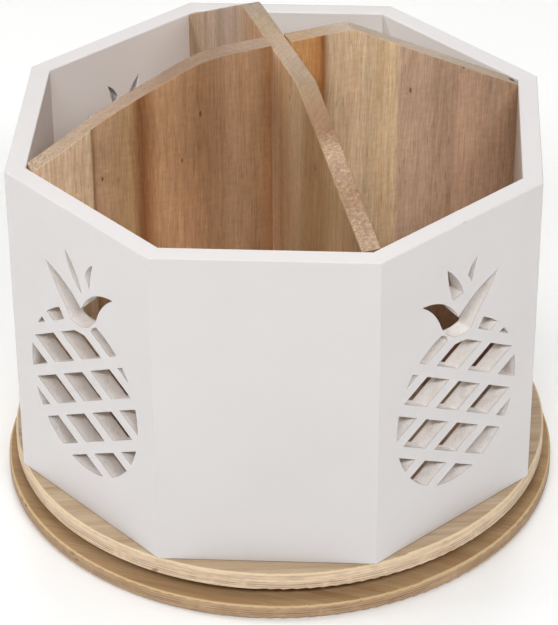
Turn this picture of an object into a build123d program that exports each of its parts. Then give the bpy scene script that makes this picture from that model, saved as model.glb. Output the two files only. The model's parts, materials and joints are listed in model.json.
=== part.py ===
from build123d import *
import os
from math import cos, hypot, pi, sin, tan

# Rotating desk organizer: an eight-sided wooden caddy with crossed dividers, standing on a
# round turntable disc that turns on a ball bearing above a round base disc.
# Millimetres. +Z is up, the origin is on the table under the turning axis, and the plain
# front panel faces -Y.

os.makedirs("parts", exist_ok=True)

# ---- driving dimensions -------------------------------------------------------------------

# Casing
corner_radius = 127.0        # axis to an outer corner of the octagon
board = 9.0                  # panel and divider board thickness
casing_height = 158.0
side_count = 8

# Dividers: each bend of the hump as its place along the board, its height above the casing's
# bottom and its rounding
left_right_bends = ((-36.0, 199.0, 60.0), (34.0, 201.0, 6.0))
front_back_bends = ((-36.0, 197.5, 12.0), (36.0, 201.0, 8.0))
lap_height = 100.0           # where the two half-lap slots meet
corner_play = 0.05           # gap left where a divider's end meets the casing's corner

# Discs and feet
foot_height = 1.5
foot_radius = 8.0
foot_circle = 112.0
base_radius = 130.5
base_thickness = 7.0
bearing_gap = 6.0            # between the two discs, filled by the bearing
top_radius = 126.5
top_thickness = 9.0
edge_round = 1.5

# Bearing
plate_radius = 74.0
plate_thickness = 1.2
race_radius = 52.0
ball_radius = 2.0
ball_count = 20
race_play = 0.2              # ball to raceway
cage_play = 0.15             # ball to cage hole
cage_width = 9.0
cage_thickness = 0.8
rivet_radius = 5.0
rivet_running_play = 0.06    # rivet shank to the upper plate's bore
rivet_head_radius = 8.0
rivet_head_height = 0.8
rivet_shoulder_radius = 6.5
rivet_end_play = 0.1
recess_radius = 9.0          # clears the rivet's heads in both discs
recess_depth = 1.2
access_radius = 6.0          # hole that the upper plate's screws are driven through

# Screws
plate_screw_radius = 1.5
plate_screw_head = 3.0
plate_screw_head_height = 1.2
plate_screw_depth = 5.0
plate_screw_circle = 64.5
casing_screw_radius = 1.5
casing_screw_head = 3.2
casing_screw_head_depth = 2.0
casing_screw_depth = 16.0    # into the board above the disc
divider_screw_offset = 92.0  # along each divider, from the axis

# Pineapple cut-out: s runs along the panel, away from the front panel, and h up it
body_centre = (-0.5, 65.3)
body_half_width = 37.0
body_half_height = 42.0
cell_pitch_s = 19.6          # half a cell's spacing along the panel
cell_pitch_h = 11.2          # and up it
cell_half_width = 13.9
cell_half_height = 7.9
cell_row_height = 68.6       # centre height of one row of cells
smallest_cut = 4.0           # square millimetres

# ---- derived sizes ------------------------------------------------------------------------

half_turn = pi / side_count
apothem = corner_radius * cos(half_turn)
inner_corner = corner_radius - board / cos(half_turn)
panel_turn = 360 / side_count
divider_half = inner_corner - board / 2 / tan(pi / 2 - half_turn) - corner_play

base_bottom = foot_height
base_top = base_bottom + base_thickness
top_bottom = base_top + bearing_gap
casing_bottom = top_bottom + top_thickness
ball_height = base_top + bearing_gap / 2


def box_between(low, high):
    """A block between two opposite corners."""
    size = [b - a for a, b in zip(low, high)]
    return Pos(*low) * Box(*size, align=(Align.MIN, Align.MIN, Align.MIN))


def rod(radius, bottom, top, x=0.0, y=0.0):
    """An upright cylinder between two heights."""
    align = (Align.CENTER, Align.CENTER, Align.MIN)
    return Pos(x, y, bottom) * Cylinder(radius, top - bottom, align=align)


def polar(radius, degrees):
    """A point on a circle about the axis."""
    angle = degrees * pi / 180
    return radius * cos(angle), radius * sin(angle)


def disc(radius, bottom, thickness):
    """A round board with slightly rounded edges."""
    body = rod(radius, bottom, bottom + thickness)
    return fillet(body.edges().filter_by(GeomType.CIRCLE), edge_round)


def as_group(name, solids):
    """Several separate solids under one node name."""
    return Compound(label=name, children=list(solids))


# ---- casing panels ------------------------------------------------------------------------


def blank_panel():
    """One mitred board of the casing, in the front panel's place."""
    outer = corner_radius * sin(half_turn)
    inner = inner_corner * sin(half_turn)
    plan = Polygon(
        (-outer, -apothem), (outer, -apothem), (inner, board - apothem), (-inner, board - apothem),
        align=None,
    )
    board_solid = extrude(Pos(0, 0, casing_bottom) * plan, casing_height)
    screw = rod(casing_screw_radius, casing_bottom, casing_bottom + casing_screw_depth, 0, board / 2 - apothem)
    return board_solid - screw


def leaf(tip, first_bulge, base_a, base_b, second_bulge):
    """A crown leaf: two curved sides that meet at the tip, and a short straight base."""
    sides = [ThreePointArc(tip, first_bulge, base_a), ThreePointArc(base_b, second_bulge, tip)]
    if base_a != base_b:
        sides.insert(1, Line(base_a, base_b))
    return make_face(sides)


def low_leaves():
    """The big swept leaf and the long leaf opposite it, which share one foot."""
    swept_tip, fork, long_tip = (-23.8, 124.9), (-1.4, 110.4), (22.3, 125.0)
    foot = [(9.3, 105.6), (7.0, 101.4), (-2.2, 100.8), (-11.9, 109.8)]
    return make_face([
        ThreePointArc(swept_tip, (-12.4, 122.0), fork),
        ThreePointArc(fork, (8.6, 118.8), long_tip),
        ThreePointArc(long_tip, (16.2, 114.9), foot[0]),
        Line(foot[0], foot[1]),
        ThreePointArc(foot[1], (2.4, 100.4), foot[2]),
        ThreePointArc(foot[2], (-7.8, 104.4), foot[3]),
        ThreePointArc(foot[3], (-16.6, 118.4), swept_tip),
    ])


def wide_crown():
    """Crown cut with a stout second leaf and a small upper one."""
    stout = leaf((-9.1, 137.3), (-2.7, 130.3), (1.3, 121.7), (-5.2, 120.9), (-7.8, 129.0))
    upper = leaf((9.3, 137.2), (5.5, 134.0), (3.6, 129.8), (6.1, 125.7), (7.6, 131.3))
    return [low_leaves(), stout, upper]


def slim_crown():
    """Crown cut with a slight second leaf and a tall upper one."""
    slight = leaf((-10.9, 136.9), (-7.4, 133.4), (-5.3, 129.4), (-7.9, 123.6), (-9.2, 130.3))
    tall = leaf((7.8, 136.7), (1.6, 128.8), (-2.6, 119.0), (-1.8, 118.8), (4.9, 127.0))
    return [low_leaves(), slight, tall]


def lattice():
    """The fruit's body: diamond cells inside an oval, clear of the crown's foot."""
    oval = Pos(*body_centre) * Ellipse(body_half_width, body_half_height)
    crown_foot = Polygon(
        (-12.0, 113.0), (-6.2, 97.4), (2.4, 96.8), (10.5, 98.2), (15.2, 105.2), (15.2, 113.0),
        align=None,
    )
    diamond = Polygon(
        (cell_half_width, 0), (0, cell_half_height), (-cell_half_width, 0), (0, -cell_half_height),
        align=None,
    )
    cells = []
    for row in range(-4, 5):
        for column in range(-2, 3):
            if (row + column) % 2:
                continue
            centre = (column * cell_pitch_s, cell_row_height + row * cell_pitch_h)
            cell = (Pos(*centre) * diamond) & oval
            if cell is None or not cell.faces():
                continue
            cell = cell - crown_foot
            cells += [face for face in cell.faces() if face.area > smallest_cut]
    return cells


def pineapple_panel(crown, hand):
    """A panel with the pineapple cut through it; hand is +1, or -1 for the mirror image."""
    middle = Plane((0, board / 2 - apothem, casing_bottom), x_dir=(1, 0, 0), z_dir=(0, -1, 0))
    panel = blank_panel()
    for face in crown + lattice():
        cutter = extrude(middle * face, board / 2 + 1, both=True)
        if hand < 0:
            cutter = mirror(cutter, Plane.YZ)
        panel = panel - cutter
    return panel


def casing_panels():
    """The eight panels by name, counted anticlockwise from the front."""
    plain = blank_panel()
    panels = {
        "panel_front": plain,
        "panel_front_right": pineapple_panel(wide_crown(), 1),
        "panel_right": plain,
        "panel_back_right": pineapple_panel(wide_crown(), 1),
        "panel_back": plain,
        "panel_back_left": pineapple_panel(slim_crown(), -1),
        "panel_left": plain,
        "panel_front_left": pineapple_panel(slim_crown(), -1),
    }
    return {name: Rot(0, 0, i * panel_turn) * solid for i, (name, solid) in enumerate(panels.items())}


# ---- dividers -----------------------------------------------------------------------------


def divider(bends, slot_from_top):
    """One divider board along X, with a humped top and a half-lap slot."""
    rim = casing_bottom + casing_height
    hump = [(along, casing_bottom + height) for along, height, rounding in bends]
    outline = Polygon(
        (-divider_half, rim), (-divider_half, casing_bottom), (divider_half, casing_bottom),
        (divider_half, rim), hump[1], hump[0],
        align=None,
    )
    blank = extrude(Plane.XZ * outline, board / 2, both=True)
    for along, height, rounding in bends:
        across = blank.edges().filter_by(Axis.Y)
        blank = fillet(across.filter_by(lambda edge: abs(edge.center().X - along) < 0.1), rounding)
    lap = casing_bottom + lap_height
    low, high = (lap, lap + casing_height) if slot_from_top else (casing_bottom - board, lap)
    blank = blank - box_between((-board / 2, -board, low), (board / 2, board, high))
    for side in (-1, 1):
        x = side * divider_screw_offset
        blank = blank - rod(casing_screw_radius, casing_bottom, casing_bottom + casing_screw_depth, x)
    return blank


def divider_boards():
    """The two boards, each from corner to corner of the casing."""
    left_right = Rot(0, 0, panel_turn / 2) * divider(left_right_bends, slot_from_top=True)
    front_back = Rot(0, 0, 90 + panel_turn / 2) * divider(front_back_bends, slot_from_top=False)
    return {"divider_left_right": left_right, "divider_front_back": front_back}


# ---- discs, feet and bearing --------------------------------------------------------------

plate_screw_angles = [90 * i for i in range(4)]
access_angle = 45


def casing_screw_places():
    """Where the casing's screws stand: one under each panel and two under each divider."""
    panels = [polar(apothem - board / 2, panel_turn * i) for i in range(side_count)]
    dividers = [polar(divider_screw_offset, panel_turn / 2 + 90 * i) for i in range(4)]
    return panels, dividers


def casing_screw(x, y):
    """A countersunk wood screw that points up, its head flush with the disc's underside."""
    head = Pos(x, y, top_bottom) * Cone(
        casing_screw_head, casing_screw_radius, casing_screw_head_depth,
        align=(Align.CENTER, Align.CENTER, Align.MIN),
    )
    return head + rod(casing_screw_radius, top_bottom, casing_bottom + casing_screw_depth, x, y)


def turntable_disc():
    """The upper disc, which the casing is screwed to."""
    body = disc(top_radius, top_bottom, top_thickness)
    body = body - rod(recess_radius, top_bottom, top_bottom + recess_depth)
    panels, dividers = casing_screw_places()
    for x, y in panels + dividers:
        body = body - casing_screw(x, y)
    for angle in plate_screw_angles:
        x, y = polar(plate_screw_circle, angle + access_angle)
        body = body - rod(plate_screw_radius, top_bottom, top_bottom + plate_screw_depth, x, y)
    return body


def base_disc():
    """The lower disc, which stands on the table."""
    body = disc(base_radius, base_bottom, base_thickness)
    body = body - rod(recess_radius, base_top - recess_depth, base_top)
    body = body - rod(access_radius, base_bottom, base_top, *polar(plate_screw_circle, access_angle))
    for angle in plate_screw_angles:
        x, y = polar(plate_screw_circle, angle)
        body = body - rod(plate_screw_radius, base_top - plate_screw_depth, base_top, x, y)
    return body


def feet():
    """Four thin pads stuck under the base."""
    pads = {}
    for i, name in enumerate(("back_right", "back_left", "front_left", "front_right")):
        x, y = polar(foot_circle, 45 + 90 * i)
        pads["foot_" + name] = rod(foot_radius, 0, foot_height, x, y)
    return pads


def raceway():
    """The ring that the balls run in, a little larger than the balls."""
    return Pos(0, 0, ball_height) * Torus(race_radius, ball_radius + race_play)


def lower_plate():
    """Bearing plate screwed to the base, with the access hole in it."""
    plate = rod(plate_radius, base_top, base_top + plate_thickness) - raceway()
    plate = plate - rod(rivet_radius, base_top, base_top + plate_thickness)
    x, y = polar(plate_screw_circle, access_angle)
    plate = plate - rod(access_radius, base_top, base_top + plate_thickness, x, y)
    for angle in plate_screw_angles:
        x, y = polar(plate_screw_circle, angle)
        plate = plate - rod(plate_screw_radius, base_top, base_top + plate_thickness, x, y)
    return plate


def upper_plate():
    """Bearing plate screwed to the turntable disc, which turns on the rivet."""
    bottom = top_bottom - plate_thickness
    plate = rod(plate_radius, bottom, top_bottom) - raceway()
    plate = plate - rod(rivet_radius + rivet_running_play, bottom, top_bottom)
    for angle in plate_screw_angles:
        x, y = polar(plate_screw_circle, angle + access_angle)
        plate = plate - rod(plate_screw_radius, bottom, top_bottom, x, y)
    return plate


def centre_rivet():
    """Headed rivet through both plates; its shoulder keeps them apart."""
    shoulder_top = top_bottom - plate_thickness - rivet_end_play
    head_bottom = top_bottom + rivet_end_play
    lower_head = rod(rivet_head_radius, base_top - rivet_head_height, base_top)
    shank = rod(rivet_radius, base_top - rivet_head_height, head_bottom)
    shoulder = rod(rivet_shoulder_radius, base_top + plate_thickness, shoulder_top)
    upper_head = rod(rivet_head_radius, head_bottom, head_bottom + rivet_head_height)
    return lower_head + shank + shoulder + upper_head


def ball_places():
    return [polar(race_radius, 360 / ball_count * i) for i in range(ball_count)]


def ball_cage():
    """Flat ring that spaces the balls."""
    half = cage_thickness / 2
    low, high = ball_height - half, ball_height + half
    ring = rod(race_radius + cage_width / 2, low, high) - rod(race_radius - cage_width / 2, low, high)
    for x, y in ball_places():
        ring = ring - rod(ball_radius + cage_play, low, high, x, y)
    return ring


def balls():
    return as_group("bearing_balls", [Pos(x, y, ball_height) * Sphere(ball_radius) for x, y in ball_places()])


def lower_plate_screws():
    """Round-headed screws that point down into the base."""
    screws = []
    for angle in plate_screw_angles:
        x, y = polar(plate_screw_circle, angle)
        seat = base_top + plate_thickness
        shank = rod(plate_screw_radius, base_top - plate_screw_depth, seat, x, y)
        screws.append(shank + rod(plate_screw_head, seat, seat + plate_screw_head_height, x, y))
    return as_group("lower_plate_screws", screws)


def upper_plate_screws():
    """Round-headed screws that point up into the turntable disc."""
    screws = []
    for angle in plate_screw_angles:
        x, y = polar(plate_screw_circle, angle + access_angle)
        seat = top_bottom - plate_thickness
        shank = rod(plate_screw_radius, seat, top_bottom + plate_screw_depth, x, y)
        screws.append(shank + rod(plate_screw_head, seat - plate_screw_head_height, seat, x, y))
    return as_group("upper_plate_screws", screws)


def casing_screws():
    """The screws under the panels, and those under the dividers."""
    panels, dividers = casing_screw_places()
    return {
        "panel_screws": as_group("panel_screws", [casing_screw(x, y) for x, y in panels]),
        "divider_screws": as_group("divider_screws", [casing_screw(x, y) for x, y in dividers]),
    }


# ---- write every sub-part -----------------------------------------------------------------

nodes = {
    **casing_panels(),
    **divider_boards(),
    "turntable_disc": turntable_disc(),
    **casing_screws(),
    "bearing_upper_plate": upper_plate(),
    "upper_plate_screws": upper_plate_screws(),
    "ball_cage": ball_cage(),
    "bearing_balls": balls(),
    "centre_rivet": centre_rivet(),
    "bearing_lower_plate": lower_plate(),
    "lower_plate_screws": lower_plate_screws(),
    "base_disc": base_disc(),
    **feet(),
}
for name, shape in nodes.items():
    export_step(shape, f"parts/{name}.step")
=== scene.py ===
import json
import math

import bmesh
import bpy
from mathutils import Euler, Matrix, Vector, noise


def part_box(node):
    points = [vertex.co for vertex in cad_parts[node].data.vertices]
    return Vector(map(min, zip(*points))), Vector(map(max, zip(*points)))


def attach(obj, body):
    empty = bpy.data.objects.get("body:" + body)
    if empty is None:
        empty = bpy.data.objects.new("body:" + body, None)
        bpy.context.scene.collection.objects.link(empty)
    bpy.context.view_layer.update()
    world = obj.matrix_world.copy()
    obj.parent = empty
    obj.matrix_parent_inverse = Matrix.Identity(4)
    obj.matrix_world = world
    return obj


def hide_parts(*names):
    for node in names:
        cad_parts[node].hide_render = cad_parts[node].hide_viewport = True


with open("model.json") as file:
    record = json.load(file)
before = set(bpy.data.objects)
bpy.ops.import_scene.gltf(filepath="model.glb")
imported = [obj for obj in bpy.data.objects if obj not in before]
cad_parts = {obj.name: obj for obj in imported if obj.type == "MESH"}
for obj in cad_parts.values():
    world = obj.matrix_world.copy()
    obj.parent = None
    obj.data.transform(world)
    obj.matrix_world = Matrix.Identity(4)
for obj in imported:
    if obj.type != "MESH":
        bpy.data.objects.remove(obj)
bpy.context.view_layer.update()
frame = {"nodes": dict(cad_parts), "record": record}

# Rotating desk organizer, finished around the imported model: white-painted octagonal casing
# with pineapple cut-outs, crossed boards of edge-glued staves, and two pale wooden discs.
# Metres, in the frame's own axes: +Z up, the plain front panel faces -Y.

MM = 0.001
NODES = frame["nodes"]
SLOTS = {part["node"]: part["material_slot"] for part in frame["record"]["subparts"]}

# Casing panels, anticlockwise from the front, and how far each is turned about the axis
PANELS = [
    "panel_front", "panel_front_right", "panel_right", "panel_back_right",
    "panel_back", "panel_back_left", "panel_left", "panel_front_left",
]
PANEL_TURN = 2 * math.pi / len(PANELS)
DIVIDER_TURNS = {"divider_left_right": PANEL_TURN / 2, "divider_front_back": math.pi / 2 + PANEL_TURN / 2}

# How much wider the front cut-outs are at the casing's inner face, sawn a little out of square
CUT_FLARE = {"panel_front_right": 0.9 * MM, "panel_front_left": 2.0 * MM}
CROWN_FLARE = 0.9 * MM      # the most in the crown, whose cuts lie close together
CROWN_FOOT = 108 * MM       # above the casing's bottom; only the crown's cut-outs reach higher

# Sizes read from the frame
front_low, front_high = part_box("panel_front")
BOARD = front_high.y - front_low.y
APOTHEM = -front_low.y
CASING_BOTTOM, CASING_TOP = front_low.z, front_high.z
FLAT = 0.01 * MM            # a vertex this close to a face counts as on it

KNOCK_COLOUR = (84, 66, 58)


def linear(red, green, blue):
    """A display colour, 0 to 255, as the linear colour that a shader takes."""
    def channel(value):
        value /= 255
        return value / 12.92 if value <= 0.04045 else ((value + 0.055) / 1.055) ** 2.4
    return channel(red), channel(green), channel(blue), 1.0


# ---- shader building ----------------------------------------------------------------------


class Shader:
    """One procedural material, built node by node in the object's own space."""

    def __init__(self, name):
        self.material = bpy.data.materials.new(name)
        self.material.use_nodes = True
        self.tree = self.material.node_tree
        self.tree.nodes.clear()
        coordinates = self.add("ShaderNodeTexCoord")
        self.point = coordinates.outputs["Object"]
        self.normal = coordinates.outputs["Normal"]

    def add(self, kind, settings=(), **values):
        """A node, with its settings, and its inputs given as numbers or as sockets to link."""
        node = self.tree.nodes.new(kind)
        for key, value in dict(settings).items():
            setattr(node, key, value)
        for key, value in values.items():
            self.feed(node.inputs[key.replace("_", " ")], value)
        return node

    def feed(self, socket, value):
        if isinstance(value, bpy.types.NodeSocket):
            self.tree.links.new(value, socket)
        else:
            socket.default_value = value

    def math(self, operation, first, second=0.0, third=0.0):
        node = self.add("ShaderNodeMath", {"operation": operation})
        for socket, value in zip(node.inputs, (first, second, third)):
            self.feed(socket, value)
        return node.outputs[0]

    def local(self, turn, offset=(0, 0, 0)):
        """The object's point, turned back about Z and moved."""
        turned = self.add("ShaderNodeMapping", Vector=self.point, Rotation=(0, 0, -turn), Location=offset)
        return turned.outputs[0]

    def split(self, vector):
        return self.add("ShaderNodeSeparateXYZ", Vector=vector).outputs

    def join(self, x, y, z):
        return self.add("ShaderNodeCombineXYZ", X=x, Y=y, Z=z).outputs[0]

    def length(self, x, y):
        squares = self.math("ADD", self.math("MULTIPLY", x, x), self.math("MULTIPLY", y, y))
        return self.math("POWER", squares, 0.5)

    def stretch(self, vector, scale, offset=(0, 0, 0)):
        """A point scaled along each axis, then moved."""
        return self.add("ShaderNodeMapping", Vector=vector, Scale=scale, Location=offset).outputs[0]

    def noise(self, vector, scale, detail=3.0, roughness=0.55, distortion=0.0):
        node = self.add(
            "ShaderNodeTexNoise", Vector=vector, Scale=scale, Detail=detail, Roughness=roughness,
            Distortion=distortion,
        )
        return node.outputs[0]

    def ramp(self, value, stops):
        """Colours, or grey levels given as single numbers, against positions from 0 to 1."""
        node = self.add("ShaderNodeValToRGB", Fac=value)
        ramp = node.color_ramp
        while len(ramp.elements) < len(stops):
            ramp.elements.new(0.5)
        for element, (position, colour) in zip(ramp.elements, stops):
            element.position = position
            element.color = (colour,) * 3 + (1.0,) if isinstance(colour, (int, float)) else colour
        return node.outputs[0]

    def step(self, value, low, high):
        """0 below low, 1 above high, smooth between."""
        node = self.add("ShaderNodeMapRange", {"interpolation_type": "SMOOTHSTEP"})
        for socket, number in zip(node.inputs, (value, low, high, 0.0, 1.0)):
            self.feed(socket, number)
        return node.outputs[0]

    def mix(self, factor, first, second, blend="MIX"):
        node = self.add("ShaderNodeMix", {"data_type": "RGBA", "blend_type": blend})
        self.feed(node.inputs[0], factor)
        self.feed(node.inputs[6], first)
        self.feed(node.inputs[7], second)
        return node.outputs[2]

    def bump(self, height, distance, strength, under=None):
        """A normal bent by a height, on top of another bent normal if one is given."""
        node = self.add("ShaderNodeBump", Height=height, Distance=distance, Strength=strength)
        if under is not None:
            self.tree.links.new(under, node.inputs["Normal"])
        return node.outputs[0]

    def finish(self, colour, roughness, normal=None, **constants):
        """The finished material, with the shader's other inputs as constants."""
        node = self.add("ShaderNodeBsdfPrincipled", Base_Color=colour, Roughness=roughness)
        for key, value in constants.items():
            node.inputs[key.replace("_", " ")].default_value = value
        if normal is not None:
            self.tree.links.new(normal, node.inputs["Normal"])
        output = self.add("ShaderNodeOutputMaterial")
        self.tree.links.new(node.outputs[0], output.inputs[0])
        return self.material


# ---- materials ----------------------------------------------------------------------------


def white_paint(name, turn, wall_shade, seed):
    """Satin white paint on board: smooth faces, rough pale walls in the cut-outs, worn arrises."""
    s = Shader(name)
    place = s.local(turn)
    depth, up = s.split(place)[1:]
    across = s.math("ADD", depth, APOTHEM)           # 0 on the outer face, BOARD on the inner one
    seeded = s.stretch(place, (1, 1, 1), (seed, seed * 0.37, 0))

    # the faces: faint clouding and roller stipple; the inside and the rim's top are painted light, lighter
    # copies of the outside's paint
    cloud = s.noise(seeded, 14.0, 3.0, 0.5)
    stipple = s.noise(seeded, 1500.0, 2.0, 0.6)
    drag = s.noise(s.stretch(seeded, (1.0, 1.0, 0.12)), 420.0, 3.0, 0.6)
    outside = s.ramp(cloud, [(0.3, linear(216, 212, 211)), (0.7, linear(220, 216, 215))])
    rim = s.ramp(cloud, [(0.3, linear(224, 220, 219)), (0.7, linear(228, 224, 223))])
    inside = s.ramp(cloud, [(0.3, linear(239, 236, 233)), (0.7, linear(242, 239, 237))])
    face = s.mix(s.step(across, 0.9 * BOARD, BOARD), outside, inside)
    face = s.mix(s.step(up, CASING_TOP - 0.6 * MM, CASING_TOP - 0.1 * MM), face, rim)

    # the sawn walls: thin paint over raw board, mottled and gritty, and coloured lighter than the outer face
    # as a painted highlight against the shade inside the cuts
    past_outer = s.step(across, 0.4 * MM, 1.2 * MM)
    before_inner = s.step(across, BOARD - 0.4 * MM, BOARD - 1.2 * MM)
    below_rim = s.step(up, CASING_TOP - 2 * MM, CASING_TOP - 4 * MM)
    sawn = s.math("MULTIPLY", s.math("MULTIPLY", past_outer, before_inner), below_rim)
    mottle = s.noise(seeded, 240.0, 4.0, 0.65)
    grit = s.noise(seeded, 1100.0, 3.0, 0.7)
    wall = s.ramp(mottle, [
        (0.30, linear(234, 227, 222)), (0.48, linear(243, 238, 234)), (0.70, linear(245, 242, 240)),
    ])
    wall = s.mix(s.math("MULTIPLY", s.step(grit, 0.58, 0.74), 0.6), wall, linear(176, 160, 148))
    # painted shade: this factor darkens the cut-out walls of the back panels
    wall = s.mix(1.0, wall, (wall_shade, wall_shade, wall_shade, 1.0), "MULTIPLY")
    colour = s.mix(sawn, face, wall)

    # board shows in small chips along the rim's edges
    near_rim = s.step(up, CASING_TOP - 2.5 * MM, CASING_TOP - 0.4 * MM)
    outer_edge = s.step(across, 0.9 * MM, 0.1 * MM)
    inner_edge = s.step(across, BOARD - 0.9 * MM, BOARD - 0.1 * MM)
    chips = s.step(s.noise(seeded, 190.0, 4.0, 0.7), 0.68, 0.72)
    worn = s.math("MULTIPLY", s.math("MULTIPLY", near_rim, s.math("MAXIMUM", outer_edge, inner_edge)), chips)
    colour = s.mix(s.math("MULTIPLY", worn, 0.7), colour, linear(150, 128, 104))
    colour = s.mix(corner_knock(s), colour, linear(*KNOCK_COLOUR))

    rough = s.mix(sawn, s.ramp(drag, [(0.3, 0.42), (0.7, 0.52)]), (0.85, 0.85, 0.85, 1.0))
    height = s.math("ADD", s.math("MULTIPLY", stipple, 0.5), s.math("MULTIPLY", drag, 0.5))
    smooth = s.bump(height, 0.06 * MM, 0.5)
    gritty = s.bump(s.math("ADD", grit, mottle), 0.6 * MM, s.math("MULTIPLY", sawn, 0.7), smooth)
    return s.finish(colour, rough, gritty, Specular_IOR_Level=0.4)


def corner_knock(s):
    """Mask of the small dark knock where the left-right divider meets the right-hand corner."""
    angle = DIVIDER_TURNS["divider_left_right"]
    reach = APOTHEM / math.cos(PANEL_TURN / 2) - 1.4 * BOARD
    spot = (-reach * math.cos(angle), -reach * math.sin(angle), -CASING_TOP)
    x, y = s.split(s.stretch(s.point, (1, 1, 1), spot))[:2]
    spread = s.length(x, y)
    tatter = s.noise(s.point, 900.0, 3.0, 0.7)
    ragged = s.math("MULTIPLY_ADD", tatter, -3 * MM, s.math("ADD", spread, 1.5 * MM))
    return s.step(ragged, 1.8 * MM, 1.2 * MM)


def staved_wood(name, turn, staves, ends, knots, lift, torn_from, seed):
    """A board of edge-glued staves with upright grain, and pale end grain on its top edge."""
    s = Shader(name)
    place = s.local(turn)
    along, across, up = s.split(place)
    unit = s.math("DIVIDE", s.math("ADD", along, STAVE_REACH), 2 * STAVE_REACH)
    base = s.ramp(unit, stave_stops(staves, lift))

    # the grain runs up the board, sways a little and bends round the knots
    knot_dark, knot_push = knot_masks(s, along, up, knots)
    sway = s.noise(s.stretch(place, (1.0, 1.0, 0.3), (seed, seed, seed)), 20.0, 2.0, 0.5)
    swayed = s.math("MULTIPLY_ADD", sway, 12 * MM, along)
    bent = s.math("ADD", swayed, s.math("MULTIPLY", knot_push, 4 * MM))
    grain = s.join(s.math("ADD", bent, seed), across, up)
    bands = s.noise(s.stretch(grain, (1.0, 1.0, 0.03)), 120.0, 2.0, 0.5)
    streaks = s.noise(s.stretch(grain, (1.0, 1.0, 0.03)), 430.0, 5.0, 0.7)
    fibres = s.noise(s.stretch(grain, (1.0, 1.0, 0.06)), 1500.0, 3.0, 0.65)
    pores = s.step(s.noise(s.stretch(grain, (1.0, 1.0, 0.09)), 1150.0, 2.0, 0.5), 0.63, 0.72)
    fleck = s.noise(s.stretch(grain, (0.5, 1.0, 1.0)), 420.0, 3.0, 0.65)
    patches = s.noise(s.stretch(grain, (1.0, 1.0, 0.3)), 34.0, 3.0, 0.6)

    colour = s.mix(1.0, base, s.ramp(patches, [(0.25, 0.90), (0.75, 1.10)]), "MULTIPLY")
    brown, golden = (0.86, 0.76, 0.62, 1.0), (1.14, 1.16, 1.18, 1.0)
    colour = s.mix(1.0, colour, s.ramp(bands, [(0.30, 0.86), (0.5, 1.0), (0.72, 1.08)]), "MULTIPLY")
    colour = s.mix(1.0, colour, s.ramp(streaks, [(0.25, brown), (0.5, 1.0), (0.75, golden)]), "MULTIPLY")
    colour = s.mix(1.0, colour, s.ramp(fibres, [(0.25, 0.76), (0.75, 1.18)]), "MULTIPLY")
    colour = s.mix(1.0, colour, s.ramp(fleck, [(0.30, 0.92), (0.70, 1.07)]), "MULTIPLY")
    colour = s.mix(s.math("MULTIPLY", pores, 0.28), colour, linear(104, 68, 42))
    colour = s.mix(knot_dark, colour, linear(92, 58, 36))

    # end grain: speckled, with wide flat rings and faint saw marks
    facing_up = s.step(s.split(s.normal)[2], 0.68, 0.84)
    speck = s.noise(s.stretch(grain, (1.0, 0.6, 1.0)), 820.0, 4.0, 0.75)
    arcs = s.noise(s.stretch(grain, (0.35, 2.4, 0.35)), 230.0, 3.0, 0.6, 0.8)
    saw = s.noise(s.join(s.math("MULTIPLY_ADD", across, 0.8, along), 0.0, 0.0), 700.0, 2.0, 0.5)
    end = s.ramp(unit, stave_stops(ends, ENDS_LIFT))
    calm = s.ramp(speck, [(0.28, 0.74), (0.45, 0.97), (0.56, 1.0), (0.74, 1.10)])
    torn = s.ramp(speck, [(0.30, 0.55), (0.46, 0.92), (0.54, 1.05), (0.66, 1.45)])
    end = s.mix(1.0, end, s.mix(s.step(along, torn_from, torn_from - 12 * MM), calm, torn), "MULTIPLY")
    end = s.mix(1.0, end, s.ramp(arcs, [(0.3, 0.88), (0.7, 1.06)]), "MULTIPLY")
    end = s.mix(1.0, end, s.ramp(saw, [(0.35, 0.92), (0.65, 1.05)]), "MULTIPLY")
    colour = s.mix(facing_up, colour, end)
    colour = s.mix(corner_knock(s), colour, linear(*KNOCK_COLOUR))

    height = s.math("MULTIPLY_ADD", fibres, 0.5, s.math("MULTIPLY", streaks, 0.5))
    height = s.math("SUBTRACT", height, s.math("MULTIPLY", pores, 0.4))
    normal = s.bump(height, 0.25 * MM, 0.55)
    normal = s.bump(s.math("ADD", speck, saw), 0.9 * MM, s.math("MULTIPLY", facing_up, 0.6), normal)
    rough = s.ramp(streaks, [(0.2, 0.66), (0.8, 0.54)])
    return s.finish(colour, rough, normal, Specular_IOR_Level=0.3)


def stave_stops(staves, lift):
    """Ramp stops of a row of staves, each channel brightened by its own factor."""
    stops = []
    for place, colour in staves:
        bright = tuple(min(BRIGHTEST, factor * channel) for factor, channel in zip(lift, linear(*colour)))
        stops.append(((place * MM + STAVE_REACH) / (2 * STAVE_REACH), bright + (1.0,)))
    return stops


def knot_masks(s, along, up, knots):
    """How dark each small knot is, and how far it pushes the grain round it."""
    dark = push = 0.0
    for place, height, radius in knots:
        x = s.math("DIVIDE", s.math("SUBTRACT", along, place * MM), radius * MM)
        z = s.math("DIVIDE", s.math("SUBTRACT", up, CASING_BOTTOM + height * MM), 2.4 * radius * MM)
        far = s.length(x, z)
        dark = s.math("MAXIMUM", dark, s.math("MULTIPLY", s.step(far, 1.0, 0.45), 0.75))
        push = s.math("MULTIPLY_ADD", s.step(far, 4.0, 0.0), x, push)
    return dark, push


# Dark layers in a disc's edge: height above its bottom, and strength
DARK_LAYERS = ((2.2 * MM, 0.5), (3.3 * MM, 0.65), (4.5 * MM, 0.4))


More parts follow.
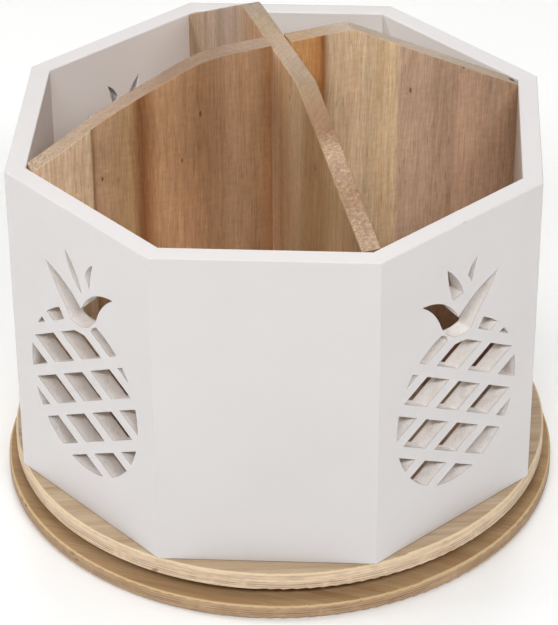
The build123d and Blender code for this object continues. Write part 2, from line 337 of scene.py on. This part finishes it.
def pale_wood(name, turn, seed, bottom, face_tone_and_shade, side_tone, arris_highlight):
    """Bare pale board: straight grain across the faces, thin layers round the edge."""
    s = Shader(name)
    place = s.local(turn, (seed, seed * 0.6, 0))
    sway = s.noise(s.stretch(place, (0.25, 1.0, 1.0)), 16.0, 2.0, 0.5)
    x, y, z = s.split(place)
    swayed = s.join(x, s.math("MULTIPLY_ADD", sway, 20 * MM, y), z)
    rings = s.noise(s.stretch(swayed, (0.03, 1.0, 1.0)), 170.0, 3.0, 0.55)
    streaks = s.noise(s.stretch(swayed, (0.02, 1.0, 1.0)), 700.0, 3.0, 0.6)
    fibres = s.noise(s.stretch(place, (0.05, 1.0, 1.0)), 1500.0, 3.0, 0.6)
    pores = s.step(s.noise(s.stretch(place, (0.06, 1.0, 1.0)), 1300.0, 2.0, 0.5), 0.64, 0.74)
    colour = s.ramp(rings, [
        (0.25, linear(186, 154, 120)), (0.45, linear(206, 180, 150)), (0.62, linear(214, 190, 162)),
        (0.80, linear(222, 200, 172)),
    ])
    colour = s.mix(1.0, colour, s.ramp(streaks, [(0.25, 0.84), (0.75, 1.10)]), "MULTIPLY")
    colour = s.mix(1.0, colour, s.ramp(fibres, [(0.25, 0.90), (0.75, 1.08)]), "MULTIPLY")
    colour = s.mix(s.math("MULTIPLY", pores, 0.45), colour, linear(140, 104, 70))
    # the faces' tone; on the lower disc it also paints shade onto its top
    colour = s.mix(1.0, colour, face_tone_and_shade, "MULTIPLY")

    # the edge: a painted highlight along the rounded arris, then thin layers with dark lines between the
    # lower ones
    facing_up = s.split(s.normal)[2]
    sideways = s.math("MULTIPLY", s.step(facing_up, 0.86, 0.5), s.step(facing_up, -0.995, -0.95))
    drift = s.noise(s.stretch(s.point, (1.0, 1.0, 0.4)), 16.0, 2.0, 0.5)
    drifted = s.math("MULTIPLY_ADD", drift, 1.4 * MM, s.split(s.point)[2])
    height = s.math("SUBTRACT", drifted, bottom + 0.7 * MM)
    spread = s.stretch(s.point, (0.03, 0.03, 1.0))
    layers = s.noise(spread, 900.0, 3.0, 0.65)
    saw = s.noise(s.stretch(s.point, (0.25, 0.25, 1.0)), 520.0, 4.0, 0.7)
    knots = s.step(s.noise(s.stretch(s.point, (1.0, 1.0, 1.6), (seed, 0, 0)), 62.0, 2.0, 0.6), 0.69, 0.74)
    gaps = s.step(s.noise(s.stretch(s.point, (1.0, 1.0, 0.2)), 90.0, 3.0, 0.6), 0.34, 0.50)
    side = s.ramp(layers, [
        (0.28, linear(186, 160, 132)), (0.5, linear(208, 185, 160)), (0.75, linear(224, 204, 182)),
    ])
    side = s.mix(1.0, side, s.ramp(saw, [(0.28, 0.80), (0.5, 1.0), (0.72, 1.10)]), "MULTIPLY")
    for level, strength in DARK_LAYERS:
        off = s.math("ABSOLUTE", s.math("SUBTRACT", height, level))
        line = s.math("MULTIPLY", s.math("MULTIPLY", s.step(off, 0.32 * MM, 0.06 * MM), gaps), strength)
        side = s.mix(line, side, linear(112, 80, 52))
    side = s.mix(s.math("MULTIPLY", knots, 0.6), side, linear(96, 66, 42))
    side = s.mix(1.0, side, side_tone, "MULTIPLY")
    colour = s.mix(sideways, colour, side)
    # painted highlight: the rounded top arris is lightened to a cream colour
    arris = s.math("MULTIPLY", s.step(facing_up, 0.25, 0.6), s.step(facing_up, 0.985, 0.9))
    colour = s.mix(s.math("MULTIPLY", arris, 0.8), colour, arris_highlight)

    relief = s.math("ADD", s.mix(sideways, streaks, layers), s.math("MULTIPLY", saw, 0.4))
    normal = s.bump(relief, 0.12 * MM, s.math("SUBTRACT", 0.5, s.math("MULTIPLY", arris, 0.5)))
    return s.finish(colour, s.ramp(streaks, [(0.2, 0.68), (0.8, 0.56)]), normal, Specular_IOR_Level=0.3)


def plated_steel(name, tint, roughness):
    """Zinc-plated sheet: turning marks, dull clouds."""
    s = Shader(name)
    marks = s.noise(s.stretch(s.point, (1.0, 0.08, 1.0)), 1800.0, 3.0, 0.6)
    cloud = s.noise(s.point, 160.0, 3.0, 0.6)
    colour = s.mix(1.0, tint, s.ramp(cloud, [(0.3, 0.86), (0.7, 1.06)]), "MULTIPLY")
    rough = s.math("MULTIPLY_ADD", marks, 0.16, roughness)
    return s.finish(colour, rough, s.bump(marks, 0.04 * MM, 0.4), Metallic=1.0)


def nylon(name):
    """Natural nylon of the ball cage."""
    s = Shader(name)
    cloud = s.noise(s.point, 120.0, 3.0, 0.6)
    grain = s.noise(s.point, 1400.0, 2.0, 0.5)
    colour = s.ramp(cloud, [(0.3, linear(222, 217, 203)), (0.7, linear(235, 231, 220))])
    return s.finish(colour, s.ramp(grain, [(0.3, 0.42), (0.7, 0.52)]), s.bump(grain, 0.04 * MM, 0.5))


def rubber(name):
    """Dark matte rubber of the feet."""
    s = Shader(name)
    dust = s.noise(s.point, 300.0, 4.0, 0.65)
    grain = s.noise(s.point, 2200.0, 2.0, 0.6)
    colour = s.ramp(dust, [(0.35, linear(28, 27, 26)), (0.75, linear(58, 56, 53))])
    return s.finish(colour, s.ramp(dust, [(0.3, 0.78), (0.7, 0.90)]), s.bump(grain, 0.08 * MM, 0.6))


# Colours along each divider, in millimetres from the axis: most staves blend into the next, and
# two stops close together are a visible joint
STAVE_REACH = 121 * MM
BRIGHTEST = 0.85
# How much a whole board is brightened, as red, green and blue
LEFT_RIGHT_LIFT = (1.46, 1.57, 1.68)
FRONT_BACK_LIFT = (2.45, 2.85, 3.15)
ENDS_LIFT = (1.08, 1.08, 1.08)
LEFT_RIGHT_STAVES = [
    (-120, (196, 164, 134)), (-89, (188, 156, 124)), (-88, (122, 88, 55)), (-86.5, (164, 126, 96)),
    (-71, (157, 121, 84)), (-67, (124, 82, 50)), (-65, (118, 72, 42)), (-62.5, (146, 100, 64)),
    (-58, (166, 124, 88)), (-54, (168, 126, 90)),
    (-44, (154, 113, 80)), (-35, (139, 101, 70)), (-28, (142, 105, 76)), (-22, (158, 121, 90)),
    (-11, (150, 112, 80)), (-6, (146, 103, 68)), (4, (164, 118, 74)), (12, (178, 128, 78)),
    (18, (164, 108, 60)), (20, (136, 84, 44)), (23, (184, 154, 122)), (31, (186, 153, 118)),
    (37, (194, 163, 130)), (48, (196, 162, 124)), (54, (198, 165, 128)), (57.5, (172, 139, 114)),
    (70, (168, 135, 109)), (88, (168, 132, 106)), (104, (160, 127, 102)), (116, (152, 119, 92)),
]
FRONT_BACK_STAVES = [
    (-116, (104, 75, 50)), (-78, (120, 90, 62)), (-70, (108, 78, 50)), (-60, (106, 75, 48)),
    (-50, (112, 81, 54)), (-46, (120, 88, 61)), (-40, (126, 97, 70)), (-26, (136, 103, 75)),
    (-17, (132, 96, 67)), (-10, (148, 112, 84)), (5, (138, 100, 68)), (10, (145, 106, 76)),
    (14, (132, 95, 66)), (28, (134, 98, 72)), (38, (136, 104, 80)), (47, (136, 108, 90)),
    (59, (128, 100, 84)), (68, (128, 102, 82)), (80, (136, 108, 88)), (110, (140, 110, 86)),
]
# End grain on the top edges, in the same way
LEFT_RIGHT_ENDS = [
    (-116, (190, 165, 140)), (-72, (178, 152, 130)), (-52, (160, 132, 109)), (-30, (158, 131, 109)),
    (-14, (174, 148, 128)), (10, (184, 155, 125)),
    (30, (194, 174, 154)), (70, (202, 184, 166)), (116, (188, 166, 144)),
]
FRONT_BACK_ENDS = [
    (-110, (180, 153, 127)), (-98, (172, 142, 114)), (-90, (164, 130, 101)), (-80, (176, 145, 119)),
    (-70, (190, 160, 132)), (-60, (154, 118, 88)), (-50, (162, 127, 97)), (-40, (170, 142, 112)),
    (-30, (176, 152, 130)), (-15, (182, 160, 137)), (0, (190, 164, 140)), (15, (178, 156, 129)),
    (30, (172, 154, 134)), (110, (176, 154, 132)),
]
# Small knots: place along the board, height above the casing's bottom, radius
LEFT_RIGHT_KNOTS = [(-84, 148, 0.7), (-38, 172, 0.8), (-47, 150, 0.6), (62, 165, 0.8), (88, 172, 0.6)]
FRONT_BACK_KNOTS = [(-60, 168, 0.7), (-28, 186, 0.8), (26, 176, 0.8), (64, 158, 0.6)]


# ---- shaping ------------------------------------------------------------------------------


def worked_copy(node_name, body, material, work):
    """A piece that stands for a CAD node: the node's own shape, reworked by a function."""
    mesh = bpy.data.meshes.new(node_name + "_finished")
    shape = bmesh.new()
    shape.from_mesh(NODES[node_name].data)
    bmesh.ops.remove_doubles(shape, verts=shape.verts, dist=1e-6)
    bmesh.ops.dissolve_limit(
        shape, angle_limit=math.radians(0.5), verts=shape.verts, edges=shape.edges,
    )
    work(shape)
    bmesh.ops.triangulate(shape, faces=[face for face in shape.faces if len(face.verts) > 4])
    bmesh.ops.recalc_face_normals(shape, faces=shape.faces)
    for face in shape.faces:
        face.smooth = True
        face.material_index = 0
    for edge in sharp_edges(shape, 50):
        edge.smooth = False
    shape.to_mesh(mesh)
    shape.free()
    for layer in [a.name for a in mesh.attributes if a.name == "custom_normal"]:
        mesh.attributes.remove(mesh.attributes[layer])
    mesh.materials.append(material)
    piece = bpy.data.objects.new(node_name + "_finished", mesh)
    bpy.context.scene.collection.objects.link(piece)
    weigh = piece.modifiers.new("face_normals", "WEIGHTED_NORMAL")
    weigh.weight = 90
    weigh.keep_sharp = True
    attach(piece, body)
    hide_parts(node_name)
    return piece


def sharp_edges(shape, angle=30):
    """The edges where two faces meet at more than an angle, in degrees."""
    return [e for e in shape.edges if len(e.link_faces) == 2 and e.calc_face_angle() > math.radians(angle)]


def round_off(shape, edges, width, segments=2):
    bmesh.ops.bevel(
        shape, geom=edges, offset=width, offset_type="OFFSET", segments=segments, profile=0.5,
        affect="EDGES", clamp_overlap=True, loop_slide=True,
    )


def slice_across(shape, direction, start, stop, spacing):
    """Cuts the faces with planes square to a direction, so that they can follow a wavy edge."""
    count = int((stop - start) / spacing)
    for i in range(1, count):
        bmesh.ops.bisect_plane(
            shape, geom=shape.verts[:] + shape.edges[:] + shape.faces[:],
            plane_co=direction * (start + i * spacing), plane_no=direction, dist=1e-7,
        )


def edge_groups(edges):
    """Edges sorted into the connected runs that they form, in the same order every time."""
    waiting, groups = dict.fromkeys(edges), []
    while waiting:
        run, ends = [], [next(iter(waiting))]
        del waiting[ends[0]]
        while ends:
            edge = ends.pop()
            run.append(edge)
            for other in [e for v in edge.verts for e in v.link_edges]:
                if other in waiting:
                    del waiting[other]
                    ends.append(other)
        groups.append(run)
    return groups


def on_mitre(edge):
    """Whether an edge belongs to a mitre, the only faces that lie in planes through the axis."""
    return any(abs(f.normal.z) < 0.1 and abs(f.normal.dot(f.verts[0].co)) < 0.1 * MM for f in edge.link_faces)


def flare(run, distance):
    """Widens a cut-out at one face by moving its outline into the board."""
    moves = {}
    for vertex in dict.fromkeys(v for e in run for v in e.verts):
        walls = [f.normal for f in vertex.link_faces if f.calc_area() > 0 and not is_face_on(f, run)]
        if walls:
            mean = sum(walls, Vector()).normalized()
            lean = max(0.4, min(mean.dot(wall) for wall in walls))
            moves[vertex] = mean * (-distance / lean)
    for vertex, move in moves.items():
        vertex.co += move


def is_face_on(face, run):
    """Whether a face is the board's own face, which the run's first edges all lie in."""
    return all(abs(face.normal.dot((e.verts[1].co - e.verts[0].co).normalized())) < 0.01 for e in run[:8])


# Width and segments of the roundings on a panel's rim, foot and cut-outs
PANEL_ROUNDINGS = {
    "rim": (0.6 * MM, 3),
    "foot": (0.7 * MM, 1),
    "outer": (0.25 * MM, 2),
    "inner": (0.5 * MM, 2),
}


def finish_panel(turn, flaring):
    """Rounds the rim, eases and flares the cut-outs, and lifts the bottom edge off the disc."""
    outward = Vector((math.sin(turn), -math.cos(turn), 0))

    def lying(edges, test):
        return [e for e in edges if all(test(v.co) for v in e.verts)]

    def work(shape):
        edges = [e for e in sharp_edges(shape) if not on_mitre(e)]
        rim = lying(edges, lambda co: co.z > CASING_TOP - FLAT)
        foot = lying(edges, lambda co: co.z < CASING_BOTTOM + FLAT and co.dot(outward) > APOTHEM - MM)
        cuts = lying(edges, lambda co: CASING_BOTTOM + MM < co.z < CASING_TOP - MM)
        outer = lying(cuts, lambda co: co.dot(outward) > APOTHEM - FLAT)
        inner = lying(cuts, lambda co: co.dot(outward) < APOTHEM - BOARD + FLAT)
        for run in edge_groups(inner) if flaring else []:
            in_crown = max(v.co.z for e in run for v in e.verts) > CASING_BOTTOM + CROWN_FOOT
            flare(run, min(flaring, CROWN_FLARE) if in_crown else flaring)
        for name, group in {"rim": rim, "foot": foot, "outer": outer, "inner": inner}.items():
            width, segments = PANEL_ROUNDINGS[name]
            for run in edge_groups(group):
                round_off(shape, [e for e in run if e.is_valid], width, segments)
    return work


SWELL_PLACE = -78 * MM      # along the divider from the axis
SWELL_SPREAD = 22 * MM


def finish_divider(turn, rounding, swell):
    """Rounds a divider's top arrises unevenly, and swells its falling edge a little."""
    direction = Vector((math.cos(turn), math.sin(turn), 0))

    def work(shape):
        slice_across(shape, direction, -120 * MM, 120 * MM, 3 * MM)
        top = [
            e for e in sharp_edges(shape, 40)
            if all(v.co.z > CASING_TOP - 0.5 * MM for v in e.verts)
            and abs((e.verts[0].co - e.verts[1].co).normalized().dot(direction)) > 0.5
        ]
        round_off(shape, top, rounding, 5)
        for vertex in shape.verts:
            if vertex.co.z > CASING_TOP - 3 * MM:
                sag = noise.noise(vertex.co * 60) + 0.6 * noise.noise(vertex.co * 190)
                vertex.co.z -= 0.22 * MM * (1.2 + sag)
                off = (vertex.co.dot(direction) - SWELL_PLACE) / SWELL_SPREAD
                vertex.co.z += swell * math.exp(-off * off)
    return work


def finish_disc(shape):
    """Leaves a disc's edge slightly uneven, as cut and sanded by hand."""
    band = 4 * MM
    start = max(v.co.xy.length for v in shape.verts) - band
    for vertex in shape.verts:
        reach = vertex.co.xy.length
        if reach > start:
            wave = noise.noise(Vector((vertex.co.x, vertex.co.y, 0.3)) * 14)
            shrink = 0.35 * MM * (0.6 + wave) * (reach - start) / band
            vertex.co.xy *= 1 - shrink / reach


# ---- dressing -----------------------------------------------------------------------------


def dress_casing():
    """The panels, those at the back with painted shade darkening the walls of their cut-outs."""
    for i, name in enumerate(PANELS):
        turn = i * PANEL_TURN
        # painted shade on the back panels' cut-out walls
        wall_shade = 0.6 if name.startswith("panel_back") else 1.0
        paint = white_paint("paint_" + name, turn, wall_shade, 1.7 * i + 0.4)
        worked_copy(name, "turntable", paint, finish_panel(turn, CUT_FLARE.get(name, 0.0)))


def dress_divider(name, staves, ends, knots, lift, torn_from, seed, rounding, swell):
    turn = DIVIDER_TURNS[name]
    wood = staved_wood("wood_" + name, turn, staves, ends, knots, lift, torn_from, seed)
    worked_copy(name, "turntable", wood, finish_divider(turn, rounding, swell))


def dress_dividers():
    """The left-right board is the more worn one, and swells under its left shoulder."""
    dress_divider(
        "divider_left_right", LEFT_RIGHT_STAVES, LEFT_RIGHT_ENDS, LEFT_RIGHT_KNOTS, LEFT_RIGHT_LIFT,
        torn_from=-100 * MM, seed=0.23, rounding=1.5 * MM, swell=2.2 * MM,
    )
    dress_divider(
        "divider_front_back", FRONT_BACK_STAVES, FRONT_BACK_ENDS, FRONT_BACK_KNOTS, FRONT_BACK_LIFT,
        torn_from=-55 * MM, seed=0.63, rounding=0.6 * MM, swell=0.0,
    )


def dress_disc(name, body, degrees, seed, face_tone_and_shade, side_tone, arris_highlight):
    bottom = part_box(name)[0].z
    wood = pale_wood("wood_" + name, math.radians(degrees), seed, bottom, face_tone_and_shade, side_tone, arris_highlight)
    worked_copy(name, body, wood, finish_disc)


def dress_discs():
    """The lower disc is darker: browner wood, with painted shade on its faces for its top under the upper
    disc, and its grain lies at another angle.
    """
    dress_disc(
        "turntable_disc", "turntable", 8, 0.0, face_tone_and_shade=(0.81, 0.80, 0.78, 1.0),
        side_tone=(1.15, 1.14, 1.10, 1.0), arris_highlight=linear(232, 210, 172),
    )
    dress_disc(
        # painted shade: the lower disc's faces darkened for its shaded top, besides its browner wood
        "base_disc", "base", -14, 1.3, face_tone_and_shade=(0.70, 0.60, 0.46, 1.0),
        side_tone=(0.72, 0.62, 0.50, 1.0), arris_highlight=linear(214, 186, 142),
    )


def dress_hardware():
    """The bearing, screws and feet keep their CAD shape and get their real surfaces."""
    finishes = {
        "bearing_steel": plated_steel("plated_bearing", linear(196, 198, 200), 0.30),
        "screw_steel": plated_steel("plated_screws", linear(188, 186, 176), 0.34),
        "ball_steel": plated_steel("polished_balls", linear(214, 215, 217), 0.12),
        "cage_plastic": nylon("cage_nylon"),
        "foot_rubber": rubber("foot_rubber_matte"),
    }
    for name, slot in SLOTS.items():
        if slot in finishes:
            NODES[name].material_slots[0].material = finishes[slot]


# ---- stage --------------------------------------------------------------------------------

CAMERA_YAW = math.radians(2.99)       # turned to look a little left of +Y
CAMERA_PITCH = math.radians(33.15)    # looking down
CAMERA_ROLL = math.radians(-0.33)
CAMERA_PLACE = (0.0566, -1.0862, 0.7664 + CASING_BOTTOM)
CAMERA_LENS = 159.5
CAMERA_SENSOR = 36.0
FLOOR_RADIUS = 30.0


def add_camera():
    data = bpy.data.cameras.new("camera")
    data.lens = CAMERA_LENS
    data.sensor_width = CAMERA_SENSOR
    camera = bpy.data.objects.new("camera", data)
    camera.location = CAMERA_PLACE
    look = Euler((math.pi / 2 - CAMERA_PITCH, 0, CAMERA_YAW)).to_matrix()
    camera.rotation_euler = (look @ Euler((0, 0, CAMERA_ROLL)).to_matrix()).to_euler()
    bpy.context.scene.collection.objects.link(camera)
    bpy.context.scene.camera = camera


def add_softbox(name, place, aim, size, power):
    data = bpy.data.lights.new(name, "AREA")
    data.shape = "RECTANGLE"
    data.size, data.size_y = size
    data.energy = power
    light = bpy.data.objects.new(name, data)
    light.location = place
    light.rotation_euler = (Vector(aim) - Vector(place)).to_track_quat("-Z", "Y").to_euler()
    bpy.context.scene.collection.objects.link(light)


def add_floor():
    """A pale seamless floor, far wider than any view."""
    mesh = bpy.data.meshes.new("floor")
    shape = bmesh.new()
    bmesh.ops.create_circle(shape, cap_ends=True, segments=96, radius=FLOOR_RADIUS)
    shape.to_mesh(mesh)
    shape.free()
    s = Shader("pale_floor")
    cloud = s.noise(s.point, 3.0, 2.0, 0.5)
    colour = s.ramp(cloud, [(0.3, linear(247, 247, 246)), (0.7, linear(249, 249, 248))])
    glow = {"Emission_Color": (1.0, 1.0, 1.0, 1.0), "Emission_Strength": 0.08}
    mesh.materials.append(s.finish(colour, 0.75, Specular_IOR_Level=0.2, **glow))
    floor = bpy.data.objects.new("floor", mesh)
    bpy.context.scene.collection.objects.link(floor)


# Softboxes: azimuth and elevation in degrees, width and height in metres, watts
LIGHT_AIM = Vector((0, 0, 0.12))
LIGHT_DISTANCE = 2.5
SOFTBOXES = {
    "key": (-82, 43, 2.5, 0.35, 47.5),
    "top": (-90, 84, 1.2, 1.2, 12.0),
    "left_fill": (180, 25, 1.2, 1.2, 22.0),
    "right_fill": (0, 25, 1.2, 1.2, 6.0),
    "back_fill": (90, 55, 1.2, 1.2, 22.0),
}


def add_light():
    """A long shallow key over the front, with large soft fills at the sides and behind."""
    for name, (azimuth, elevation, width, height, power) in SOFTBOXES.items():
        tilt = Euler((0, -math.radians(elevation), math.radians(azimuth)))
        place = LIGHT_AIM + tilt.to_matrix() @ Vector((LIGHT_DISTANCE, 0, 0))
        add_softbox(name, place, LIGHT_AIM, (width, height), power)
    world = bpy.data.worlds.new("studio")
    bpy.context.scene.world = world
    world.use_nodes = True
    world.node_tree.nodes["Background"].inputs["Strength"].default_value = 0.0
    bpy.context.scene.view_settings.view_transform = "Standard"


add_camera()
add_floor()
add_light()
dress_casing()
dress_dividers()
dress_discs()
dress_hardware()
